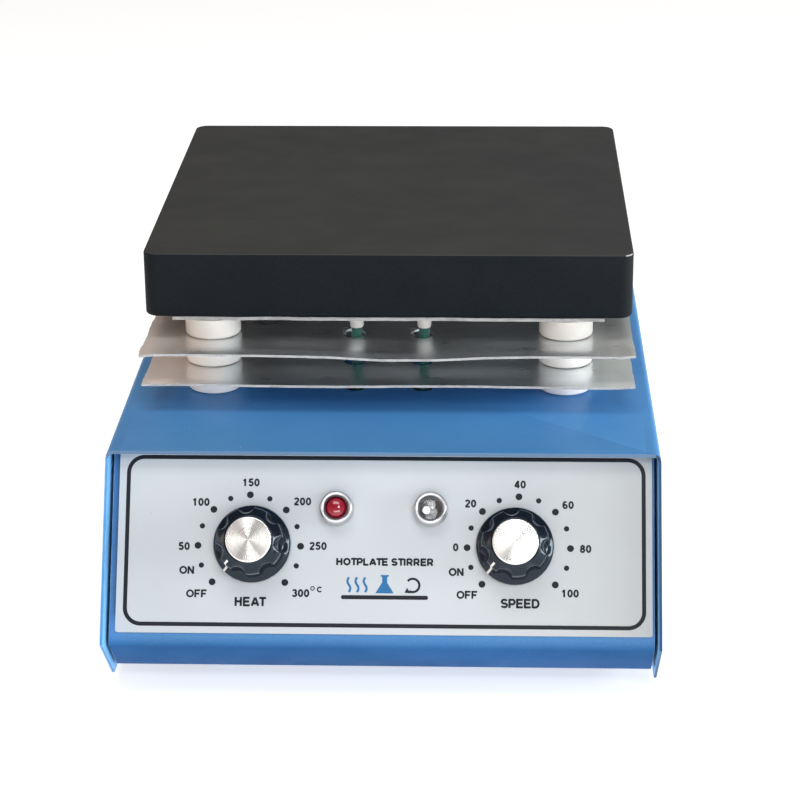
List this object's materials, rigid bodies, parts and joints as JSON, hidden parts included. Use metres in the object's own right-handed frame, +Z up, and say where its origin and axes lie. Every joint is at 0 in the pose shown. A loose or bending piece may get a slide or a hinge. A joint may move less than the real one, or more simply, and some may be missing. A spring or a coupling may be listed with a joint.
{
  "type": "hotplate magnetic stirrer",
  "caption": "Hotplate magnetic stirrer: square coated plate on ceramic spacers and heat shields above a folded steel base with a sloped two-knob control panel.",
  "frame": {"origin": "on the table, under the middle of the footprint", "axes": "+Z up; the control panel faces -Y; +X is the operator's right when facing the panel"},
  "size_m": [0.222, 0.31, 0.1578],
  "materials": {
    "blue_powder_coat": "satin blue powder coat over folded steel sheet",
    "silver_faceplate": "silver-grey with dark blue-grey printing",
    "black_coated_casting": "dark grey-black heat-proof coating on a casting",
    "aluminium_sheet": "bright brushed sheet",
    "white_ceramic": "unglazed white",
    "plated_steel": "zinc-plated",
    "chrome": "bright plated ring",
    "black_gloss_plastic": "polished black",
    "black_matt_plastic": "moulded black",
    "spun_aluminium": "spun, with circular grain",
    "red_lens": "translucent red",
    "clear_lens": "clear over a frosted core",
    "green_sleeve": "woven glass-fibre sleeving",
    "black_rubber": "moulded",
    "fibre_board": "pressed mineral fibre",
    "circuit_board": "solder resist, black components",
    "ferrite": "sintered, dull dark grey"
  },
  "bodies": {
    "base": {"outer_cover": "blue_powder_coat", "chassis": "blue_powder_coat", "faceplate": "silver_faceplate", "hot_plate": "black_coated_casting", "plate_bottom_sheet": "aluminium_sheet", "upper_heat_shield": "aluminium_sheet", "lower_heat_shield": "aluminium_sheet", "spacer_lower_front_left": "white_ceramic", "spacer_lower_front_right": "white_ceramic", "spacer_lower_rear_left": "white_ceramic", "spacer_lower_rear_right": "white_ceramic", "spacer_middle_front_left": "white_ceramic", "spacer_middle_front_right": "white_ceramic", "spacer_middle_rear_left": "white_ceramic", "spacer_middle_rear_right": "white_ceramic", "spacer_upper_front_left": "white_ceramic", "spacer_upper_front_right": "white_ceramic", "spacer_upper_rear_left": "white_ceramic", "spacer_upper_rear_right": "white_ceramic", "lead_insulator_left": "white_ceramic", "lead_insulator_right": "white_ceramic", "plate_bolt_front_left": "plated_steel", "plate_bolt_front_right": "plated_steel", "plate_bolt_rear_left": "plated_steel", "plate_bolt_rear_right": "plated_steel", "cover_screw_left_front": "plated_steel", "cover_screw_left_rear": "plated_steel", "cover_screw_right_front": "plated_steel", "cover_screw_right_rear": "plated_steel", "heating_element": "plated_steel", "stirrer_motor": "plated_steel", "motor_bracket": "plated_steel", "heat_lamp": "chrome", "power_lamp": "chrome", "thermostat": "black_matt_plastic", "speed_control": "black_matt_plastic", "power_inlet": "black_matt_plastic", "fuse_holder": "black_matt_plastic", "heat_lamp_lens": "red_lens", "power_lamp_lens": "clear_lens", "lead_sleeve_left": "green_sleeve", "lead_sleeve_right": "green_sleeve", "foot_front_left": "black_rubber", "foot_front_right": "black_rubber", "foot_rear_left": "black_rubber", "foot_rear_right": "black_rubber", "heater_insulation": "fibre_board", "control_board": "circuit_board"},
    "heat_knob": {"heat_knob": "black_gloss_plastic", "heat_knob_cap": "spun_aluminium", "thermostat_shaft": "plated_steel"},
    "speed_knob": {"speed_knob": "black_gloss_plastic", "speed_knob_cap": "spun_aluminium", "speed_control_shaft": "plated_steel"},
    "rotor": {"motor_shaft": "plated_steel", "magnet_carrier": "aluminium_sheet", "magnet_left": "ferrite", "magnet_right": "ferrite"},
    "fuse_cap": {"fuse_cap": "black_gloss_plastic"}
  },
  "joints": [
    {"name": "heat_knob_turn", "type": "hinge", "parent": "base", "child": "heat_knob", "pos_m": [-0.0509, -0.12892, 0.06191], "axis": [0, 0.8567, -0.5158], "range_deg": [0, 270]},
    {"name": "speed_knob_turn", "type": "hinge", "parent": "base", "child": "speed_knob", "pos_m": [0.0521, -0.12892, 0.06191], "axis": [0, 0.8567, -0.5158], "range_deg": [0, 270]},
    {"name": "magnet_spin", "type": "hinge", "parent": "base", "child": "rotor", "pos_m": [0, 0.0439, 0.08], "axis": [0, 0, 1], "continuous": true},
    {"name": "fuse_cap_turn", "type": "hinge", "parent": "base", "child": "fuse_cap", "pos_m": [-0.02, 0.145, 0.048], "axis": [0, 1, 0], "range_deg": [0, 90]}
  ]
}
